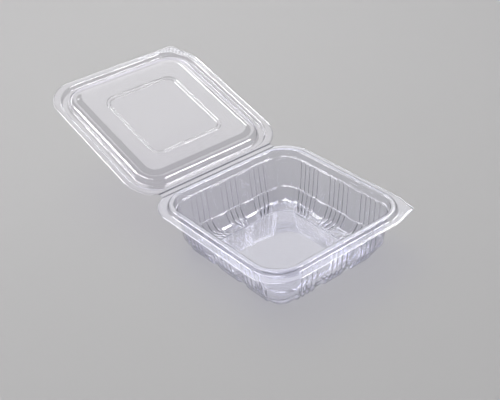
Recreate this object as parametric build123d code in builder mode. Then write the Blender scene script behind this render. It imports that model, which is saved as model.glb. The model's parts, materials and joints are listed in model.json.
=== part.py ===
"""Hinged clear-plastic food pack, thermoformed from one sheet, standing with its lid laid open.

The tray stands on the table with its hinge along X, and the lid is turned up behind it, towards
+Y.  The origin is on the table, under the middle of the open pack.  Sizes are in millimetres.
Insets run inwards from the flange's outer edge.
"""
import os
from math import cos, floor, radians, sin, sqrt

from build123d import *

# Overall size
pack_width = 128.0  # along the hinge
pack_depth = 135.0  # from the hinge crease to the free edge, the same on tray and lid
flange_height = 35.0  # top of the tray's flange above the table
corner_radius = 24.0  # of the flange
open_angle = 162.75  # how far the lid stands open, counted from closed

# Sheet after forming
tray_sheet = 0.35
lid_sheet = 0.25

# Living hinge
hinge_length = 101.0
hinge_gap = 0.30  # slit at the crease, between the two flanges
hinge_lift = 0.15  # height of the fold axis above the flange

# Tray rim: a flat flange, then a hollow bead, then a smooth wall down to a ledge
flange_width = 5.4
bead_height = 2.8
bead_lean = 0.6
bead_width = 3.8
bead_corner_radius = 22.0
rim_wall_height = 5.0
rim_wall_lean = 0.5
ledge_width = 1.8

# Tray wall: groups of upright flutes with plain panels between them
wall_lean = 2.6
wall_corner_radius = 14.0
flute_groups = 3
flute_pitch = 4.35
flute_width = 3.9
flute_crown_width = 2.0
flute_depth = 1.5
plain_panel_width = 8.4

# Tray foot, heights above the table
step_height = 10.0
step_width = 1.2
foot_height = 5.0
foot_top_lean = 2.2
foot_corner_radius = 9.5
foot_lean = 3.4
floor_corner_radius = 8.5
floor_ring_width = 6.8
floor_panel_rise = 1.0
floor_panel_lean = 1.0
floor_panel_radius = 12.0

# Lid: a channel that takes the tray's bead, a plug inside its rim, and a panel with a raised boss
lid_clearance = 0.5
plug_height = 1.9
plug_width = 5.1
panel_rise = 0.7
panel_lean = 3.4
boss_width = 57.0
boss_depth = 65.0
boss_height = 1.1
boss_lean = 2.5
boss_radius = 6.0

# Pull tabs at the free corner on the +X side: place of the tip, from the flange's two edges
tray_tab_side = 2.5
tray_tab_front = 3.5
tray_tab_radius = 3.0
lid_tab_side = 8.5
lid_tab_front = 0.0
lid_tab_radius = 5.0

# Room round the forms that are cut from each other
margin = 5.0

# Tray insets and heights that follow
bead_top_inset = flange_width + bead_lean
rim_inset = bead_top_inset + bead_width
rim_foot_inset = rim_inset + rim_wall_lean
wall_inset = rim_foot_inset + ledge_width
wall_foot_inset = wall_inset + wall_lean
wall_foot_radius = wall_corner_radius - wall_lean
step_inset = wall_foot_inset + step_width
step_radius = wall_foot_radius - step_width
foot_inset = step_inset + foot_top_lean
floor_inset = foot_inset + foot_lean
floor_panel_inset = floor_inset + floor_ring_width
bead_top = flange_height + bead_height
ledge_height = bead_top - rim_wall_height

# Lid insets and heights that follow, heights counted from the lid's own flange
channel_inset = flange_width - lid_clearance
channel_foot_inset = bead_top_inset - lid_clearance
channel_depth = bead_height - 2 * hinge_lift + lid_clearance
plug_foot_inset = rim_inset + lid_clearance
plug_inset = rim_foot_inset + lid_clearance
panel_foot_inset = plug_inset + plug_width
panel_inset = panel_foot_inset + panel_lean
panel_height = plug_height + panel_rise

# The open pack is centred on the origin, and the lid's plane is turned up at the fold axis
lid_tilt = radians(180 - open_angle)
lid_reach = pack_depth * cos(lid_tilt) + (hinge_lift + lid_sheet) * sin(lid_tilt)
hinge_y = (pack_depth - lid_reach) / 2
lid_run = Vector(0, cos(lid_tilt), sin(lid_tilt))
lid_normal = Vector(0, -sin(lid_tilt), cos(lid_tilt))
fold_axis_point = Vector(0, hinge_y, flange_height + hinge_lift)
tray_plane = Plane((0, hinge_y - pack_depth / 2, 0))
lid_plane = Plane(
    fold_axis_point + lid_run * (pack_depth / 2) - lid_normal * hinge_lift,
    x_dir=(1, 0, 0),
    z_dir=lid_normal,
)


def flange_outline(plane, free, tab_side, tab_front, tab_radius):
    """Flange with its hinge tongue and pull tab; free is the Y direction away from the hinge."""
    side_edge = pack_width / 2
    free_edge = free * pack_depth / 2
    tip = (side_edge - tab_side, free_edge - free * tab_front)
    with BuildSketch(plane) as outline:
        with Locations((0, free * hinge_gap / 4)):
            RectangleRounded(pack_width, pack_depth - hinge_gap / 2, corner_radius)
        with Locations((0, free * (hinge_gap + corner_radius - pack_depth) / 2)):
            Rectangle(hinge_length, corner_radius)
        with BuildLine():
            Polyline(
                (side_edge - corner_radius, free_edge - free * corner_radius),
                (side_edge, free_edge - free * corner_radius),
                tip,
                (side_edge - corner_radius, free_edge),
                close=True,
            )
        make_face()
        fillet(outline.vertices().sort_by_distance(tip)[0], tab_radius)
    return outline.sketch


def block_outline(plane):
    """Plain rectangle, larger than either flange."""
    with BuildSketch(plane) as outline:
        Rectangle(pack_width + 2 * margin, pack_depth + 2 * margin)
    return outline.sketch


def rim_outline(plane, inset):
    """Smooth outline parallel to the bead."""
    radius = bead_corner_radius + flange_width - inset
    with BuildSketch(plane) as outline:
        RectangleRounded(pack_width - 2 * inset, pack_depth - 2 * inset, radius)
    return outline.sketch


def panel_outline(plane, inset):
    """Outline of the tray floor's centre panel."""
    radius = floor_panel_radius + floor_panel_inset - inset
    with BuildSketch(plane) as outline:
        RectangleRounded(pack_width - 2 * inset, pack_depth - 2 * inset, radius)
    return outline.sketch


def boss_outline(plane, growth):
    """Outline of the lid's boss, grown on every side."""
    with BuildSketch(plane) as outline:
        RectangleRounded(boss_width + 2 * growth, boss_depth + 2 * growth, boss_radius + growth)
    return outline.sketch


def flute_centres(straight):
    """Places of the flutes along a wall whose straight run has this length."""
    free_run = straight - (flute_groups - 1) * plain_panel_width
    count = floor(free_run / (flute_groups * flute_pitch))
    group_spacing = count * flute_pitch + plain_panel_width
    return [
        (group - (flute_groups - 1) / 2) * group_spacing + (flute - (count - 1) / 2) * flute_pitch
        for group in range(flute_groups)
        for flute in range(count)
    ]


def fluted_outline(plane, inset, radius, skin):
    """Outline of the fluted wall, drawn side by side as if each ran along the bottom edge."""
    half_base = (flute_width - tray_sheet + skin) / 2
    half_crown = (flute_crown_width - tray_sheet + skin) / 2
    arc_radius = radius + skin
    sides = [(pack_width / 2, pack_depth / 2), (pack_depth / 2, pack_width / 2)] * 2
    with BuildSketch(plane) as outline:
        with BuildLine():
            for side, (half_run, half_across) in enumerate(sides):
                turn = 90 * side
                reach = half_across - inset + skin
                corner = half_run - inset - radius
                wall_corner = half_run - wall_inset - wall_corner_radius
                closing_in = corner / wall_corner
                start = Vector(-corner, -reach)
                for centre in flute_centres(2 * wall_corner):
                    flute = [
                        start,
                        Vector((centre - half_base) * closing_in, -reach),
                        Vector((centre - half_crown) * closing_in, -reach - flute_depth),
                        Vector((centre + half_crown) * closing_in, -reach - flute_depth),
                        Vector((centre + half_base) * closing_in, -reach),
                    ]
                    Polyline(*(point.rotate(Axis.Z, turn) for point in flute))
                    start = flute[-1]
                arc_start = Vector(corner, -reach)
                arc_side = arc_radius / sqrt(2)
                arc_middle = Vector(corner + arc_side, arc_radius - reach - arc_side)
                arc_end = Vector(corner + arc_radius, arc_radius - reach)
                Line(start.rotate(Axis.Z, turn), arc_start.rotate(Axis.Z, turn))
                ThreePointArc(*(point.rotate(Axis.Z, turn) for point in (arc_start, arc_middle, arc_end)))
        make_face()
    return outline.sketch


def tray_form(skin, flange):
    """Solid under the tray's sheet, with its surface this far below the sheet's top face."""
    level = tray_plane.offset
    with BuildPart() as form:
        extrude(flange, amount=margin + flange_height - skin)
        bead = [
            rim_outline(level(flange_height - skin), flange_width + skin),
            rim_outline(level(bead_top - skin), bead_top_inset + skin),
        ]
        loft(bead, ruled=True)
        rim_wall = [
            rim_outline(level(ledge_height - skin), rim_foot_inset - skin),
            rim_outline(level(bead_top), rim_inset - skin),
            rim_outline(level(bead_top + margin), rim_inset - skin),
        ]
        loft(rim_wall, ruled=True, mode=Mode.SUBTRACT)
        wall = [
            fluted_outline(level(step_height - skin), wall_foot_inset, wall_foot_radius, skin),
            fluted_outline(level(ledge_height - skin), wall_inset, wall_corner_radius, skin),
        ]
        loft(wall, ruled=True, mode=Mode.SUBTRACT)
        foot = [
            fluted_outline(level(tray_sheet - skin), floor_inset, floor_corner_radius, skin),
            fluted_outline(level(foot_height - skin), foot_inset, foot_corner_radius, skin),
            fluted_outline(level(step_height - skin), step_inset, step_radius, skin),
        ]
        loft(foot, ruled=True, mode=Mode.SUBTRACT)
        floor_level = tray_sheet - skin
        panel = [
            panel_outline(level(floor_level), floor_panel_inset + skin),
            panel_outline(level(floor_level + floor_panel_rise), floor_panel_inset + floor_panel_lean + skin),
        ]
        loft(panel, ruled=True)
    return form.part


def lid_form(skin, flange):
    """Solid under the open lid's sheet, with its surface this far below the sheet's top face."""
    level = lid_plane.offset
    with BuildPart() as form:
        extrude(flange, amount=margin + channel_depth - skin)
        channel = [
            rim_outline(level(-channel_depth - skin), channel_foot_inset - skin),
            rim_outline(level(-skin), channel_inset - skin),
        ]
        loft(channel, ruled=True, mode=Mode.SUBTRACT)
        plug = [
            rim_outline(level(-channel_depth - skin), plug_foot_inset + skin),
            rim_outline(level(plug_height - skin), plug_inset + skin),
        ]
        loft(plug, ruled=True)
        panel = [
            rim_outline(level(plug_height - skin), panel_foot_inset + skin),
            rim_outline(level(panel_height - skin), panel_inset + skin),
        ]
        loft(panel, ruled=True)
        boss = [
            boss_outline(level(panel_height - boss_height - skin), skin),
            boss_outline(level(panel_height - skin), boss_lean + skin),
        ]
        loft(boss, ruled=True, mode=Mode.SUBTRACT)
    return form.part


# Tray: the sheet is what lies between its top form and its under form
tray_base = tray_plane.offset(-margin)
tray_flange = flange_outline(tray_base, -1, tray_tab_side, tray_tab_front, tray_tab_radius)
tray_top_form = tray_form(0, tray_flange)
tray_under_form = tray_form(tray_sheet, block_outline(tray_base))
with BuildPart() as tray:
    add(tray_top_form)
    add(tray_under_form, mode=Mode.SUBTRACT)
tray.part.label = "tray"

# Lid, made the same way in its own turned-up plane
lid_base = lid_plane.offset(-channel_depth - margin)
lid_flange = flange_outline(lid_base, 1, lid_tab_side, lid_tab_front, lid_tab_radius)
lid_top_form = lid_form(0, lid_flange)
lid_under_form = lid_form(lid_sheet, block_outline(lid_base))
with BuildPart() as lid:
    add(lid_top_form)
    add(lid_under_form, mode=Mode.SUBTRACT)
lid.part.label = "lid"

os.makedirs("parts", exist_ok=True)
export_step(tray.part, "parts/tray.step")
export_step(lid.part, "parts/lid.step")
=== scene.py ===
# %% [markdown]
# # A clear hinged food pack
# The real pack is one sheet of clear plastic. It was heated, drawn into a mould and trimmed, and a
# crease was pressed in to make the hinge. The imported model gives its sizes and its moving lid. In this
# lesson the two halves are modelled again as smooth shells, because a clear sheet shows its form almost
# only through the thin bright lines on its rounded edges, and flat facets have no such lines.

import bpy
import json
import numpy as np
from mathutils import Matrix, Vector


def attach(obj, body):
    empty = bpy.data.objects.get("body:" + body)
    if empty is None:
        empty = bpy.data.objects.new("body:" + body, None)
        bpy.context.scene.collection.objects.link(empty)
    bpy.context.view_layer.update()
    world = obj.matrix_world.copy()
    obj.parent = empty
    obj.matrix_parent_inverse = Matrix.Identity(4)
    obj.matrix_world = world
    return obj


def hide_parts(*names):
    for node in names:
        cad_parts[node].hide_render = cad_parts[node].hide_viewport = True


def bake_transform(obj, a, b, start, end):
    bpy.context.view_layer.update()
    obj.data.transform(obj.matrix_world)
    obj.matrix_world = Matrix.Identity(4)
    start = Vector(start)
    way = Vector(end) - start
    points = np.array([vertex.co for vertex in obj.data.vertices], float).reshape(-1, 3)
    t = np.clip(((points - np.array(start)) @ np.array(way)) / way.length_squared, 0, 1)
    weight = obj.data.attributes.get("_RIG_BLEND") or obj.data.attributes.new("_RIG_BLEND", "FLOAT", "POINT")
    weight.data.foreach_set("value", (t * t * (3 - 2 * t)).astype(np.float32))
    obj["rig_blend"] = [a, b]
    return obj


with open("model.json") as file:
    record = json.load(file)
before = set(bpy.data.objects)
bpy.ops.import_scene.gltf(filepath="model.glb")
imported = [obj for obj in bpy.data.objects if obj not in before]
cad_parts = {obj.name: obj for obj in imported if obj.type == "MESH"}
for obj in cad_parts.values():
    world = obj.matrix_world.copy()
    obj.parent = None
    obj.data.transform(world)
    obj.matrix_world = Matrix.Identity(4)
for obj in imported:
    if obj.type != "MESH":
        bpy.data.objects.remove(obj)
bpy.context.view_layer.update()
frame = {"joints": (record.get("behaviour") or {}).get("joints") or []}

# %% Modules and the unit that sizes are written in
import json
from collections import namedtuple
from math import cos, degrees, floor, pi, radians, sin, tan

import bmesh
import bpy
from mathutils import Matrix, Vector

mm = 0.001

# %% [markdown]
# ## Where the hinge is
# The fold axis and the lid's tilt come from the frame's joint. The joint's lower limit is the lid laid
# flat, so the lid stands that much above level at rest.

# %% Fold axis and the lid's own directions
hinge_joint = frame["joints"][0]
fold_axis = Vector(hinge_joint["pos_m"])
lid_tilt = radians(-hinge_joint["range_deg"][0])
lid_run = Vector((0, cos(lid_tilt), sin(lid_tilt)))
lid_normal = Vector((0, -sin(lid_tilt), cos(lid_tilt)))
print("fold axis at", [round(value / mm, 2) for value in fold_axis], "mm")

# %% [markdown]
# ## Camera
# The photograph was taken from the tray's free corner, looking down on it with a long lens and the
# camera held a little askew. The camera is turned in three steps: round the upright axis, down to the
# object, then about its own line of sight.

# %% Camera at the photograph's viewing angle
camera_from_hinge = Vector((-333, -474, 339.15)) * mm
camera_azimuth = radians(37.14)
camera_elevation = radians(32.33)
camera_roll = radians(-4.16)
camera_lens = 67.97  # millimetres, on Blender's 36 mm sensor

camera = bpy.data.objects.new("camera", bpy.data.cameras.new("camera"))
bpy.context.scene.collection.objects.link(camera)
turn_to_object = Matrix.Rotation(-camera_azimuth, 4, "Z")
look_down = Matrix.Rotation(pi / 2 - camera_elevation, 4, "X")
askew = Matrix.Rotation(camera_roll, 4, "Z")
camera.matrix_world = (
    Matrix.Translation(fold_axis + camera_from_hinge) @ turn_to_object @ look_down @ askew
)
camera.data.lens = camera_lens
bpy.context.scene.camera = camera
bpy.context.scene.view_settings.view_transform = "Standard"
print("camera at", [round(value, 3) for value in camera.location])

# %% [markdown]
# ## Sizes
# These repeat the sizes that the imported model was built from. Only the hinge's width is new: the packed
# halves almost meet at the fold, and here they leave room for a creased strip. An inset runs inwards from
# the flange's outer edge. A height is counted from the table on the tray and from the flange on the lid.

# %% Sizes of the pack
pack_width = 128 * mm
pack_depth = 135 * mm
flange_corner = 24 * mm
tray_sheet = 0.35 * mm
lid_sheet = 0.25 * mm
hinge_length = 101 * mm
hinge_width = 5.4 * mm
hinge_lift = 0.15 * mm  # from the flange up to the fold axis
flange_height = fold_axis.z - hinge_lift
tray_centre = Vector((0, fold_axis.y - pack_depth / 2, 0))
lid_centre = fold_axis + lid_run * (pack_depth / 2) - lid_normal * hinge_lift
half_sizes = [(pack_width / 2, pack_depth / 2), (pack_depth / 2, pack_width / 2)] * 2
rim_round = 27.4 * mm  # inset of the point that the rim's corners are struck from
print("flange at", round(flange_height / mm, 2), "mm")
print("lid tilted", round(degrees(lid_tilt), 2), "degrees")

# %% [markdown]
# ## Rings of stations
# Each half is a stack of closed rings, one inside the other, and every ring has the same stations: some
# along the four straight sides and some round the four corners. A station knows its side, its share of
# the straight run or its angle round the corner, how far it bulges out in a flute, and how high it rises
# on a ridge or rib. One formula then places a station on a ring of any inset and corner radius.

# %% Stations and the ring formula
Station = namedtuple("Station", "side share bulge ridge angle")


def ring_point(station, inset, radius, flute_depth=0):
    """Place of a station, in the half's own plane, on the ring with this inset and corner radius."""
    half_run, half_across = half_sizes[station.side]
    corner = half_run - inset - radius
    if station.angle is None:
        point = Vector((station.share * corner, inset - half_across - station.bulge * flute_depth))
    else:
        centre = Vector((corner, inset + radius - half_across))
        point = centre + radius * Vector((sin(station.angle), -cos(station.angle)))
    return Matrix.Rotation(station.side * pi / 2, 2) @ point


def outward(station):
    """Direction straight out from the ring at a station."""
    angle = station.angle or 0
    return Matrix.Rotation(station.side * pi / 2, 2) @ Vector((sin(angle), -cos(angle)))


def wave(step, steps):
    """A soft wave that is 0 at step 0 and 1 half a period later."""
    return 0.5 - 0.5 * cos(2 * pi * step / steps)


def zigzag(step, steps):
    """A wave with straight flanks that is 0 at step 0 and 1 half a period later."""
    return 1 - abs(2 * (step / steps % 1) - 1)


# %% [markdown]
# ## Section with rounded corners
# A mould's edges are rounded, and so is the sheet drawn over it. The section is written as a few sharp
# corners with the length that is cut from each. A corner is then replaced by a short curve between the
# two cut points, and each corner also carries the ring's corner radius and the strength of the flutes.

# %% Section from a few corners
curve_steps = 4


def section_corner(inset, height, radius, flute=0, cut=0):
    """One corner of a section and the length that its rounding takes from each side."""
    return Vector((inset, height, radius, flute)), cut


def rounded_section(corners):
    """Points along the section, with a short curve in place of each corner that has a cut."""
    points = [corners[0][0]]
    for (before, _), (corner, cut), (after, _) in zip(corners, corners[1:], corners[2:]):
        if not cut:
            points.append(corner)
            continue
        start = corner.lerp(before, cut / (before.xy - corner.xy).length)
        end = corner.lerp(after, cut / (after.xy - corner.xy).length)
        for step in range(curve_steps + 1):
            share = step / curve_steps
            points.append(start.lerp(corner, share).lerp(corner.lerp(end, share), share))
    return points + [corners[-1][0]]


# %% [markdown]
# ## Flange outline
# The flange is a rounded rectangle, cut off straight at the hinge, with a pull tab at one free corner. Its
# outer ring is found from the inner one: from each station the edge is felt for, straight outwards,
# until the point is off the sheet. These tests tell what is on the sheet.

# %% Tests for the flange's outline and its tab
Tab = namedtuple("Tab", "side front radius")
edge_margin = 0.1 * mm  # keeps the sheet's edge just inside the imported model's


def between_sides(point):
    """Whether a point lies between the flange's straight edges."""
    return abs(point.x) < pack_width / 2 - edge_margin and abs(point.y) < pack_depth / 2 - edge_margin


def inside_corner(point):
    """Whether a point lies inside the round of the plain flange's corners."""
    past_x = abs(point.x) - (pack_width / 2 - flange_corner)
    past_y = abs(point.y) - (pack_depth / 2 - flange_corner)
    return min(past_x, past_y) < 0 or Vector((past_x, past_y)).length < flange_corner


def tab_test(tab, free):
    """A test for points on the pull tab, a triangle with a rounded tip on the +X free corner."""
    side_edge = pack_width / 2
    free_edge = free * pack_depth / 2
    tip = Vector((side_edge - tab.side, free_edge - free * tab.front))
    on_side = Vector((side_edge, free_edge - free * flange_corner))
    on_front = Vector((side_edge - flange_corner, free_edge))
    to_side = (on_side - tip).normalized()
    to_front = (on_front - tip).normalized()
    inwards = (to_side + to_front).normalized()
    half_angle = to_side.angle(to_front) / 2
    round_centre = tip + inwards * tab.radius / sin(half_angle)
    chord = tab.radius / tan(half_angle) * cos(half_angle)

    def on_tab(point):
        from_tip = point - tip
        if not 0 < from_tip.length < flange_corner:
            return False
        beside = max(from_tip.angle(to_side), from_tip.angle(to_front))
        if beside > 2 * half_angle:
            return False
        past_chord = from_tip.dot(inwards) < chord
        return not past_chord or (point - round_centre).length < tab.radius

    return on_tab


# %% [markdown]
# The edge is felt for in steps of half a millimetre. The last step is then halved again and again, until
# the place is exact.

# %% Edge of the sheet, felt for from the inner ring
feel_step = 0.5 * mm
feel_halvings = 12


def flange_edge(station, inset, radius, free, on_tab):
    """Point where the sheet ends, straight out from a station of the inner ring."""
    start = ring_point(station, inset, radius)
    direction = outward(station)

    def on_sheet(reach):
        point = start + direction * reach
        from_crease = pack_depth / 2 + free * point.y
        on_outline = inside_corner(point) or on_tab(point)
        return on_outline and between_sides(point) and from_crease > hinge_width / 2

    inside = 0
    while inside < flange_corner and on_sheet(inside + feel_step):
        inside += feel_step
    outside = inside + feel_step
    for _ in range(feel_halvings):
        middle = (inside + outside) / 2
        if on_sheet(middle):
            inside = middle
        else:
            outside = middle
    return start + direction * inside


# %% [markdown]
# Round a corner the stations stand at even angles. The corner with the tab gets more of them than the
# plain ones.

# %% Stations round a corner
corner_steps = 18


def corner_angles(steps):
    """Angles of the stations round a corner."""
    return [step / steps * pi / 2 for step in range(steps + 1)]


def plain_corner_stations(side):
    """Stations round a corner that has no tab."""
    return [Station(side, 1, 0, 0, angle) for angle in corner_angles(corner_steps)]


# %% [markdown]
# ## Raising a shell
# By hand, such a shell is drawn from one loop of edges: extrude the loop, move it to the next level, and
# again, until the last loop is filled. The code does the same. Each vertex keeps its station's number,
# which the extrusion copies, so that the new loop can be put in its place. A second number says how
# frosted the sheet is there, for the material. The sheet gets its thickness last, on the side away from
# the food.

# %% Helper that extrudes a shell ring by ring
RingPoint = namedtuple("RingPoint", "place frost")
smooth_angle = radians(60)


def place_selected(shell, ring):
    """Puts the selected loop on a ring, by the station number of each vertex."""
    mesh = bmesh.from_edit_mesh(shell.data)
    station = mesh.verts.layers.int["station"]
    frost = mesh.verts.layers.float["frost"]
    for vertex in mesh.verts:
        if vertex.select:
            point = ring[vertex[station]]
            vertex.co = point.place
            vertex[frost] = point.frost
    bmesh.update_edit_mesh(shell.data)


def raise_shell(name, rings, thickness, up):
    """A sheet through all the rings, closed in the middle, with its thickness below or outside it."""
    bpy.ops.object.select_all(action="DESELECT")
    bpy.ops.mesh.primitive_circle_add(vertices=len(rings[0]), radius=pack_width / 2, fill_type="NOTHING")
    shell = bpy.context.object
    shell.name = name
    bpy.ops.object.mode_set(mode="EDIT")
    mesh = bmesh.from_edit_mesh(shell.data)
    mesh.verts.layers.float.new("frost")
    station = mesh.verts.layers.int.new("station")
    for vertex in mesh.verts:
        vertex[station] = vertex.index
    place_selected(shell, rings[0])
    for ring in rings[1:]:
        bpy.ops.mesh.extrude_region_move()
        place_selected(shell, ring)
    bpy.ops.mesh.edge_face_add()
    bpy.ops.mesh.select_all(action="SELECT")
    bpy.ops.mesh.normals_make_consistent(inside=False)
    middle_face = bmesh.from_edit_mesh(shell.data).faces[:][-1]
    if middle_face.normal.dot(up) < 0:
        bpy.ops.mesh.flip_normals()
    bpy.ops.object.mode_set(mode="OBJECT")
    shell.data.attributes.remove(shell.data.attributes["station"])
    solidify = shell.modifiers.new("sheet", "SOLIDIFY")
    solidify.thickness = thickness
    solidify.offset = -1
    bpy.ops.object.modifier_apply(modifier="sheet")
    bpy.ops.object.shade_smooth_by_angle(angle=smooth_angle)
    print(name, len(shell.data.polygons), "faces")
    return shell


# %% [markdown]
# ## Tray stations
# The tray's wall has three groups of flutes on each side with plain panels between them. On the real
# pack the flutes stiffen the thin wall. Eight stations follow the wave of each flute. Between two flutes
# the sheet runs out onto the floor as a low ridge, so those stations carry a ridge as well.

# %% Tray stations
wall_inset = 12.1 * mm
wall_corner = 14 * mm
flute_groups = 3
flute_pitch = 4.35 * mm
flute_depth = 1.5 * mm
flute_steps = 8
flute_fullness = 1.5  # flattens the back of each flute
plain_panel = 8.4 * mm
panel_margin = 0.2 * mm
tray_tab_side = 0
tray_tab_steps = 60
tab_rib_steps = 4


def wall_stations(side):
    """Stations along one wall, with the wave of its flutes."""
    straight = 2 * (half_sizes[side][0] - wall_inset - wall_corner)
    count = floor((straight - (flute_groups - 1) * plain_panel) / (flute_groups * flute_pitch))
    spacing = count * flute_pitch + plain_panel
    stations = []
    for group in range(flute_groups):
        middle = (group - (flute_groups - 1) / 2) * spacing
        start = middle - count * flute_pitch / 2
        end = middle + count * flute_pitch / 2
        stations.append(Station(side, 2 * (start - panel_margin) / straight, 0, 0, None))
        for step in range(count * flute_steps + 1):
            along = start + step / flute_steps * flute_pitch
            bulge = min(1, flute_fullness * wave(step, flute_steps))
            between_flutes = flute_steps / 2 <= step <= (count - 0.5) * flute_steps
            ridge = 1 - bulge if between_flutes else 0
            stations.append(Station(side, 2 * along / straight, bulge, ridge, None))
        stations.append(Station(side, 2 * (end + panel_margin) / straight, 0, 0, None))
    return stations


def tray_corner_stations(side):
    """Stations round one corner, with the faint ribs of the pull tab on its corner."""
    if side != tray_tab_side:
        return plain_corner_stations(side)
    return [
        Station(side, 1, 0, wave(step, tab_rib_steps) * sin(2 * angle) ** 2, angle)
        for step, angle in enumerate(corner_angles(tray_tab_steps))
    ]


tray_stations = []
for side in range(len(half_sizes)):
    tray_stations += wall_stations(side) + tray_corner_stations(side)
print("stations round the tray:", len(tray_stations))

# %% [markdown]
# ## Tray section
# From the outside in: the flange, a hollow bead round the opening, a smooth rim wall that the lid's plug
# fits into, a ledge, the fluted wall, two small steps and the floor ring round a slightly raised panel.
# The flutes cut into the ledge and get deeper towards the floor, so that the tray leaves its mould. Each
# corner of the wall is written as its inset, its height, the ring's corner radius, the flutes' strength
# and the cut, with the lengths in millimetres.

# %% Tray section
def rim_corner(inset, height, cut):
    """A corner on the smooth rim, whose rings are parallel to the bead."""
    return section_corner(inset * mm, height * mm, rim_round - inset * mm, 0, cut * mm)


def wall_section_corner(inset, height, radius, flute, cut):
    """A corner on the fluted wall or the floor."""
    return section_corner(inset * mm, height * mm, radius * mm, flute, cut * mm)


tray_section = rounded_section([
    rim_corner(4.2, 35, 0),
    rim_corner(5.4, 35, 0.8),
    rim_corner(6, 37.8, 1),
    rim_corner(9.8, 37.8, 1),
    rim_corner(10.3, 32.8, 0.6),
    wall_section_corner(12.1, 32.8, 14, 0.4, 0.9),
    wall_section_corner(12.4, 30.2, 13.7, 0.42, 0),
    wall_section_corner(13.4, 21.4, 12.7, 0.5, 0),
    wall_section_corner(14.7, 10, 11.4, 0.6, 0.58),
    wall_section_corner(15.9, 10, 10.2, 0.8, 0.58),
    wall_section_corner(18.1, 5, 9.5, 1, 0.9),
    wall_section_corner(21.1, 0.35, 8.5, 1, 2.4),
    wall_section_corner(24.6, 0.35, 10.4, 0.4, 0),
    wall_section_corner(26.5, 0.35, 11.4, 0, 0),
    wall_section_corner(28.3, 0.35, 12, 0, 0.6),
    wall_section_corner(29.3, 1.35, 11, 0, 0.6),
    wall_section_corner(42, 1.35, 8, 0, 0),
])
print("tray section has", len(tray_section), "points")

# %% [markdown]
# The trimmed edge of the flange is rolled down a little, except at the hinge. This lip is what gives the
# pack its thin bright outline.

# %% Rings of a flange
# each ring's distance from the edge and its drop
lip = [(0, 0.3 * mm), (0.15 * mm, 0.16 * mm), (0.35 * mm, 0.06 * mm), (0.6 * mm, 0)]
narrow_flange = 2 * mm


def inside_edge(edge, foot, distance):
    """Point this far inside the flange's edge, or nearer to it where the flange is narrow."""
    return edge.lerp(foot, distance / max(narrow_flange, (foot - edge).length))


def flange_lines(stations, foot_inset, foot_radius, free, on_tab):
    """For each station, the flange's foot, its edge and whether that edge is rolled down."""
    lines = []
    for station in stations:
        foot = ring_point(station, foot_inset, foot_radius)
        edge = flange_edge(station, foot_inset, foot_radius, free, on_tab)
        at_hinge = pack_depth / 2 + free * edge.y < hinge_width / 2 + edge_margin
        lines.append((station, foot, edge, 0 if at_hinge else 1))
    return lines


# %% [markdown]
# ## Tray shell
# The tray is raised from its flange down to the floor. Drawing the sheet dulls it most on the bead and
# along the trimmed lip, so those rings are a little frosted.

# %% Tray shell
tray_tab = Tab(3.4 * mm, 4.4 * mm, 4 * mm)
bead_frost = 0.4
lip_frost = 0.4
bead_insets = (5.4 * mm, 10 * mm)
tab_rib_height = 0.02 * mm
tray_flange_shares = (0.75, 0.5, 0.25)
floor_ridge_height = 1.5 * mm
floor_ridge_inset = 22.4 * mm
floor_ridge_reach = 5 * mm


def ridge_rise(station, inset):
    """Height of the low ridge between two flutes where it runs out onto the floor."""
    away = abs(inset - floor_ridge_inset) / floor_ridge_reach
    if station.angle is not None or away > 1:
        return 0
    return station.ridge * floor_ridge_height * (1 - away**2) ** 2


def on_tray(point, height, frost=0):
    """Place in space of a point of the tray's own plane."""
    return RingPoint(tray_centre + point.to_3d() + Vector((0, 0, height)), frost)


foot_inset, foot_radius = tray_section[0].x, tray_section[0].z
tray_lines = flange_lines(tray_stations, foot_inset, foot_radius, -1, tab_test(tray_tab, -1))
tray_rings = []
for from_edge, drop in lip:
    tray_rings.append([
        on_tray(inside_edge(edge, foot, from_edge), flange_height - rolled * drop, lip_frost)
        for _, foot, edge, rolled in tray_lines
    ])
for share in tray_flange_shares:
    ring = []
    for station, foot, edge, _ in tray_lines:
        rib = tab_rib_height * station.ridge if station.angle is not None else 0
        lip_end = inside_edge(edge, foot, lip[-1][0])
        ring.append(on_tray(foot.lerp(lip_end, share), flange_height - rib))
    tray_rings.append(ring)
for inset, height, radius, flute in tray_section:
    on_bead = bead_insets[0] < inset < bead_insets[1] and height > flange_height
    ring = []
    for station in tray_stations:
        point = ring_point(station, inset, radius, flute * flute_depth)
        ring.append(on_tray(point, height + ridge_rise(station, inset), bead_frost if on_bead else 0))
    tray_rings.append(ring)
tray_shell = raise_shell("tray_shell", tray_rings, tray_sheet, Vector((0, 0, 1)))

# %% [markdown]
# ## Lid
# The lid has no flutes. From the outside in it has a flange, a channel that takes the tray's bead, a
# plug that fits inside the rim, and a panel with a shallow boss that the next pack in a stack stands on.
# The boss has two fine raised lines round it, one inside the other.

# %% Lid section
lid_section = rounded_section([
    rim_corner(3.4, 0, 0),
    rim_corner(4.9, 0, 1.2),
    rim_corner(5.5, -3, 0.5),
    rim_corner(10.3, -3, 0.5),
    rim_corner(10.8, 1.9, 2.2),
    rim_corner(15.9, 1.9, 0.5),
    rim_corner(19.3, 2.6, 1.5),
    wall_section_corner(32.2, 2.6, 9, 0, 0),
    wall_section_corner(32.4, 2.6, 8.8, 0, 0.1),
    wall_section_corner(32.7, 2.75, 8.5, 0, 0.15),
    wall_section_corner(33.1, 2.25, 8.1, 0, 0.1),
    wall_section_corner(33.3, 2.25, 7.9, 0, 0),
    wall_section_corner(34.6, 2.25, 6.6, 0, 0),
    wall_section_corner(34.8, 2.25, 6.4, 0, 0.1),
    wall_section_corner(35.1, 2.4, 6.1, 0, 0.15),
    wall_section_corner(35.5, 1.9, 5.7, 0, 0.1),
    wall_section_corner(35.7, 1.9, 5.5, 0, 0),
    wall_section_corner(50, 1.9, 4, 0, 0),
])
print("lid section has", len(lid_section), "points")

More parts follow.
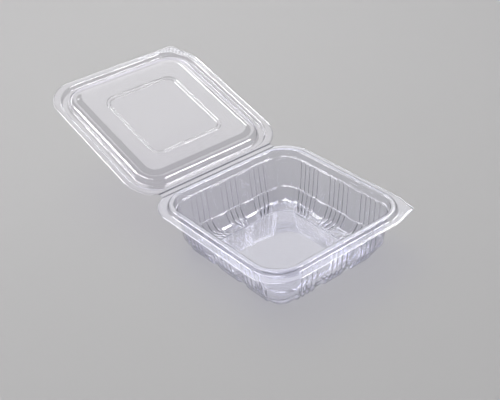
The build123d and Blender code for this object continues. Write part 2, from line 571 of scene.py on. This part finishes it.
# %% [markdown]
# The lid's pull tab is knurled, so that a wet finger grips it: short ribs in rows round the corner and a
# little way along both sides. Six stations follow each rib, and the rest of the lid needs few.

# %% Lid stations
lid_tab_side = 1
straight_steps = 8
knurl_steps = 6
knurl_ribs_round_corner = 15
knurl_ribs_on_straight = 5


def lid_straight_stations(side):
    """Stations along one side of the lid, close together where the knurl runs on from the corner."""
    rib_pitch = (rim_round - lid_section[0].x) * pi / 2 / knurl_ribs_round_corner
    rib_share = rib_pitch / (half_sizes[side][0] - rim_round)
    lowest = knurl_ribs_on_straight * rib_share - 1 if side == lid_tab_side + 1 else -1
    highest = 1 - knurl_ribs_on_straight * rib_share if side == lid_tab_side else 1
    step_share = (highest - lowest) / straight_steps
    shares = [lowest + step_share * (step + 0.5) for step in range(straight_steps)]
    plain = [Station(side, share, 0, 0, None) for share in shares]
    knurled = []
    for step in range(1, knurl_ribs_on_straight * knurl_steps + 1):
        from_corner = 1 - step / knurl_steps * rib_share
        knurled.append(Station(side, from_corner, 0, zigzag(step, knurl_steps), None))
    if side == lid_tab_side:
        return plain + knurled[::-1]
    if side == lid_tab_side + 1:
        return [station._replace(share=-station.share) for station in knurled] + plain
    return plain


def lid_corner_stations(side):
    """Stations round one corner of the lid, with the knurl on the tab's corner."""
    if side != lid_tab_side:
        return plain_corner_stations(side)
    steps = knurl_ribs_round_corner * knurl_steps
    return [
        Station(side, 1, 0, zigzag(step, knurl_steps), angle)
        for step, angle in enumerate(corner_angles(steps))
    ]


lid_stations = []
for side in range(len(half_sizes)):
    lid_stations += lid_straight_stations(side) + lid_corner_stations(side)
print("stations round the lid:", len(lid_stations))

# %% [markdown]
# ## Lid shell
# The lid is raised in the same way, in its own tilted plane. The knurl's ribs stand out on the outer face
# in two rows, and the rows stay a little raised between.

# %% Lid shell
lid_tab = Tab(8.5 * mm, 0, 5 * mm)
knurl_lines = 8
knurl_inside = 0.9 * mm  # from the edge of the flange to the knurl
knurl_rows = 2
knurl_valley = 0.3  # share of the height that is left between the rows
knurl_height = 0.8 * mm


def on_lid(point, height, frost=0):
    """Place in space of a point of the lid's own plane."""
    place = lid_centre + Vector((point.x, 0, 0)) + lid_run * point.y + lid_normal * height
    return RingPoint(place, frost)


foot_inset, foot_radius = lid_section[0].x, lid_section[0].z
lid_lines = flange_lines(lid_stations, foot_inset, foot_radius, 1, tab_test(lid_tab, 1))
lid_rings = []
for from_edge, drop in lip:
    lid_rings.append([
        on_lid(inside_edge(edge, foot, from_edge), -rolled * drop)
        for _, foot, edge, rolled in lid_lines
    ])
for line in range(1, knurl_lines):
    row = knurl_valley + (1 - knurl_valley) * wave(line * knurl_rows, knurl_lines)
    ring = []
    for station, foot, edge, _ in lid_lines:
        knurl_edge = inside_edge(edge, foot, knurl_inside)
        point = knurl_edge.lerp(foot, line / knurl_lines)
        ring.append(on_lid(point, -knurl_height * row * station.ridge, row * station.ridge))
    lid_rings.append(ring)
for inset, height, radius, _ in lid_section:
    lid_rings.append([on_lid(ring_point(station, inset, radius), height) for station in lid_stations])
lid_shell = raise_shell("lid_shell", lid_rings, lid_sheet, lid_normal)

# %% [markdown]
# ## Hinge web
# The real sheet runs through the hinge as two thin creases with a narrow strip between them. The web is
# a strip with a shallow groove for each crease, and it follows both halves when the lid turns.

# %% Hinge web
web_end_gap = 0.6 * mm
web_overlap = 0.1 * mm
web_length = hinge_length - 2 * web_end_gap
web_half_width = hinge_width / 2 + web_overlap
web_sheet = 0.2 * mm
web_columns = 40
web_rows = 28
crease_at = 2.05 * mm
crease_half_width = 0.55 * mm
tray_crease_depth = 0.25 * mm
lid_crease_depth = 0.1 * mm

bpy.ops.object.select_all(action="DESELECT")
bpy.ops.mesh.primitive_grid_add(x_subdivisions=web_columns, y_subdivisions=web_rows, size=1)
hinge_web = bpy.context.object
hinge_web.name = "hinge_web"
for vertex in hinge_web.data.vertices:
    across = 2 * vertex.co.y * web_half_width
    rise = max(0, across) * sin(lid_tilt)
    run = across * cos(lid_tilt) if across > 0 else across
    from_crease = abs(abs(across) - crease_at) / crease_half_width
    crease_depth = lid_crease_depth if across > 0 else tray_crease_depth
    dip = crease_depth * max(0, 1 - from_crease)
    vertex.co = Vector((vertex.co.x * web_length, fold_axis.y + run, flange_height + rise - dip))
solidify = hinge_web.modifiers.new("sheet", "SOLIDIFY")
solidify.thickness = web_sheet
solidify.offset = -1
bpy.ops.object.modifier_apply(modifier="sheet")
bpy.ops.object.shade_smooth_by_angle(angle=smooth_angle)
print("hinge web", len(hinge_web.data.polygons), "faces")

# %% [markdown]
# ## Clear plastic
# Clear sheet is a glass-like shader with a low index and a faint violet tint. Drawing the sheet into the
# mould leaves it a little wavy and never quite even in gloss, so one node group gives both: a height for
# the bump and a roughness. Light Path lets the lamps shine through, or the pack would stand in a dark
# shadow, since a renderer finds no lamp through bent light.

# %% Ripple group
def ripple_group():
    """Node group: waviness of a drawn sheet as a height, and its uneven gloss as a roughness."""
    group = bpy.data.node_groups.new("drawn_sheet_ripple", "ShaderNodeTree")
    sockets = group.interface
    sockets.new_socket("Stretch", in_out="INPUT", socket_type="NodeSocketVector")
    sockets.new_socket("Height", in_out="OUTPUT", socket_type="NodeSocketFloat")
    sockets.new_socket("Roughness", in_out="OUTPUT", socket_type="NodeSocketFloat")
    nodes, links = group.nodes, group.links
    entry = nodes.new("NodeGroupInput")
    leave = nodes.new("NodeGroupOutput")
    place = nodes.new("ShaderNodeTexCoord")
    stretch = nodes.new("ShaderNodeVectorMath")
    stretch.operation = "MULTIPLY"
    links.new(place.outputs["Object"], stretch.inputs[0])
    links.new(entry.outputs["Stretch"], stretch.inputs[1])
    waviness = nodes.new("ShaderNodeTexNoise")
    waviness.inputs["Scale"].default_value = 1
    waviness.inputs["Detail"].default_value = 2
    links.new(stretch.outputs["Vector"], waviness.inputs["Vector"])
    links.new(waviness.outputs["Fac"], leave.inputs["Height"])
    gloss = nodes.new("ShaderNodeTexNoise")
    gloss.inputs["Scale"].default_value = 90
    gloss.inputs["Detail"].default_value = 4
    links.new(place.outputs["Object"], gloss.inputs["Vector"])
    spread = nodes.new("ShaderNodeMapRange")
    spread.inputs["To Min"].default_value = 0.02
    spread.inputs["To Max"].default_value = 0.06
    links.new(gloss.outputs["Fac"], spread.inputs["Value"])
    links.new(spread.outputs["Result"], leave.inputs["Roughness"])
    return group


ripple = ripple_group()
print("ripple group has", len(ripple.nodes), "nodes")

# %% Clear sheet material
plastic_index = 1.57
frost_roughness = 0.2


def clear_sheet(name, tint, stretch, ripple_depth):
    """Clear plastic sheet with its own tint and its own waviness."""
    material = bpy.data.materials.new(name)
    material.use_nodes = True
    nodes, links = material.node_tree.nodes, material.node_tree.links
    shader = nodes["Principled BSDF"]
    shader.inputs["Base Color"].default_value = (*tint, 1)
    shader.inputs["IOR"].default_value = plastic_index
    shader.inputs["Transmission Weight"].default_value = 1
    surface = nodes.new("ShaderNodeGroup")
    surface.node_tree = ripple
    surface.inputs["Stretch"].default_value = stretch
    bump = nodes.new("ShaderNodeBump")
    bump.inputs["Strength"].default_value = 1
    bump.inputs["Distance"].default_value = ripple_depth
    links.new(surface.outputs["Height"], bump.inputs["Height"])
    links.new(bump.outputs["Normal"], shader.inputs["Normal"])
    frost = nodes.new("ShaderNodeAttribute")
    frost.attribute_name = "frost"
    frosted = nodes.new("ShaderNodeMath")
    frosted.operation = "MULTIPLY_ADD"
    frosted.inputs[1].default_value = frost_roughness
    links.new(frost.outputs["Fac"], frosted.inputs[0])
    links.new(surface.outputs["Roughness"], frosted.inputs[2])
    links.new(frosted.outputs["Value"], shader.inputs["Roughness"])
    passing = nodes.new("ShaderNodeBsdfTransparent")
    passing.inputs["Color"].default_value = (*((1 + value) / 2 for value in tint), 1)
    path = nodes.new("ShaderNodeLightPath")
    lets_through = nodes.new("ShaderNodeMath")
    lets_through.operation = "MAXIMUM"
    links.new(path.outputs["Is Shadow Ray"], lets_through.inputs[0])
    links.new(path.outputs["Is Diffuse Ray"], lets_through.inputs[1])
    mix = nodes.new("ShaderNodeMixShader")
    links.new(lets_through.outputs["Value"], mix.inputs["Fac"])
    links.new(shader.outputs["BSDF"], mix.inputs[1])
    links.new(passing.outputs["BSDF"], mix.inputs[2])
    links.new(mix.outputs["Shader"], nodes["Material Output"].inputs["Surface"])
    return material


# %% Plastic of each piece
tray_plastic = clear_sheet("tray_plastic", (0.88, 0.88, 0.94), (70, 70, 12), 0.04 * mm)
lid_plastic = clear_sheet("lid_plastic", (0.90, 0.89, 0.93), (40, 40, 40), 0.02 * mm)
for piece, plastic in ((tray_shell, tray_plastic), (lid_shell, lid_plastic), (hinge_web, lid_plastic)):
    piece.data.materials.clear()
    piece.data.materials.append(plastic)
print("materials:", tray_plastic.name, lid_plastic.name)

# %% [markdown]
# The knurl's ribs get a whitish plastic that lets little light through, which is painted sparkle; their
# frost is real roughness. The creases get a dark tinted plastic, which is painted shade.
# Their faces get plastics of their own, as the second material of the piece.

# %% Plastic of the knurl, with painted sparkle, and of the creases, with painted shade
fine_ripple = (900, 900, 900)
knurl_sparkle_clearness = 0.1
knurl_frost = 0.3  # faces with more frost than this belong to the knurl

# painted sparkle: the knurl's plastic is whitish and nearly opaque, so the ribs look lit
knurl_sparkle_plastic = clear_sheet("knurl_sparkle_plastic", (0.93, 0.93, 0.98), fine_ripple, 0.02 * mm)
knurl_sparkle_shader = knurl_sparkle_plastic.node_tree.nodes["Principled BSDF"]
knurl_sparkle_shader.inputs["Transmission Weight"].default_value = knurl_sparkle_clearness
lid_shell.data.materials.append(knurl_sparkle_plastic)
lid_frost = lid_shell.data.attributes["frost"].data
for polygon in lid_shell.data.polygons:
    corners = [lid_frost[index].value for index in polygon.vertices]
    if sum(corners) / len(corners) > knurl_frost:
        polygon.material_index = 1

# painted shade: the creases' faces get a dark tint so that they read as dark lines
crease_shade_plastic = clear_sheet("crease_shade_plastic", (0.3, 0.3, 0.36), fine_ripple, 0.02 * mm)
hinge_web.data.materials.append(crease_shade_plastic)
for polygon in hinge_web.data.polygons:
    across = abs(polygon.center.y - fold_axis.y)
    if abs(across - crease_at) < crease_half_width:
        polygon.material_index = 1
print("materials:", knurl_sparkle_plastic.name, crease_shade_plastic.name)

# %% [markdown]
# ## Bodies
# The tray shell stands for the tray and the lid shell for the lid. The web bends between the two.

# %% Ride on the bodies
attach(tray_shell, "tray")
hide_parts("tray")
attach(lid_shell, "lid")
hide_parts("lid")
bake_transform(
    hinge_web,
    "tray",
    "lid",
    start=fold_axis - Vector((0, web_half_width, 0)),
    end=fold_axis + Vector((0, web_half_width, 0)),
)
print("pieces ride:", [piece.name for piece in (tray_shell, lid_shell, hinge_web)])

# %% [markdown]
# ## Floor and light
# A pale plain floor and a grey room that is lighter overhead. One box overhead lights the floor. A wide
# one helps it a little and is seen in the plastic's flat faces. The strips and the ceiling box are seen
# only in the plastic, on its rounded edges. Where they stand is worked out from the edges that should
# shine: a bright line shows on an edge when a strip lies where that edge mirrors the line of sight.

# %% Floor
floor_size = 8
floor_colour = (0.47, 0.465, 0.465, 1)
floor_roughness = 0.8

bpy.ops.object.select_all(action="DESELECT")
bpy.ops.mesh.primitive_plane_add(size=floor_size)
table = bpy.context.object
table.name = "table"
table_finish = bpy.data.materials.new("table_finish")
table_finish.use_nodes = True
floor_shader = table_finish.node_tree.nodes["Principled BSDF"]
floor_shader.inputs["Base Color"].default_value = floor_colour
floor_shader.inputs["Roughness"].default_value = floor_roughness
table.data.materials.append(table_finish)
print("floor", floor_size, "m wide")

# %% Room light
room_low = (0.12, 0.12, 0.125, 1)
room_high = (0.3, 0.3, 0.31, 1)

world = bpy.data.worlds.new("room")
bpy.context.scene.world = world
world.use_nodes = True
nodes, links = world.node_tree.nodes, world.node_tree.links
direction = nodes.new("ShaderNodeTexCoord")
upwards = nodes.new("ShaderNodeSeparateXYZ")
shade = nodes.new("ShaderNodeValToRGB")
shade.color_ramp.elements[0].position = 0
shade.color_ramp.elements[0].color = room_low
shade.color_ramp.elements[1].position = 0.9
shade.color_ramp.elements[1].color = room_high
links.new(direction.outputs["Generated"], upwards.inputs["Vector"])
links.new(upwards.outputs["Z"], shade.inputs["Fac"])
links.new(shade.outputs["Color"], nodes["Background"].inputs["Color"])
nodes["Background"].inputs["Strength"].default_value = 1
print("room light from", room_low[:3], "to", room_high[:3])

# %% Soft boxes
far_off = 3


def soft_box(name, towards, along, length, width, radiance, distance=far_off, shape="RECTANGLE"):
    """Lamp that faces the pack from this direction, with its brightness as seen in a mirror."""
    lamp = bpy.data.lights.new(name, "AREA")
    lamp.shape = shape
    lamp.size = length
    lamp.size_y = width
    area = length * width * (pi / 4 if shape == "ELLIPSE" else 1)
    lamp.energy = radiance * pi * area
    box = bpy.data.objects.new(name, lamp)
    bpy.context.scene.collection.objects.link(box)
    facing = Vector(towards).normalized()
    across = facing.cross(Vector(along)).normalized()
    axes = Matrix((across.cross(facing), across, facing)).transposed()
    box.matrix_world = Matrix.Translation(facing * distance) @ axes.to_4x4()
    print(name, "at", [round(value, 2) for value in facing * distance], round(lamp.energy, 2), "W")
    return box


# %% Box that lights the floor
overhead = soft_box(
    "box_overhead", towards=(0.05, 0.33, 0.94), along=(1, 0, 0),
    length=0.9, width=0.9, radiance=5, distance=1.4,
)
overhead.visible_glossy = False
overhead.visible_transmission = False

# %% Boxes that are seen in the plastic
soft_box(
    "box_wide", towards=(0.51, 0.587, 0.629), along=(0, -0.731, 0.682),
    length=2.55, width=1.5, radiance=1.6, shape="ELLIPSE",
)
strips = [
    soft_box(
        "strip_front", towards=(0.51, -0.456, 0.729), along=(0, -0.848, -0.53),
        length=1.7, width=0.95, radiance=20,
    ),
    soft_box(
        "strip_lid", towards=(-0.447, 0.376, 0.811), along=(-0.829, 0.166, -0.534),
        length=2.6, width=0.75, radiance=15,
    ),
    soft_box(
        "strip_tray", towards=(-0.2, 0.70, 0.686), along=(-0.96, 0, -0.28),
        length=2.6, width=0.7, radiance=7,
    ),
    soft_box(
        "box_ceiling", towards=(-0.25, -0.12, 0.96), along=(1, 0, 0),
        length=1.8, width=1.8, radiance=8,
    ),
    soft_box(
        "strip_right", towards=(0.66, 0.415, 0.626), along=(0.5, -0.86, 0),
        length=0.66, width=0.27, radiance=9,
    ),
]
for strip in strips:
    strip.visible_diffuse = False
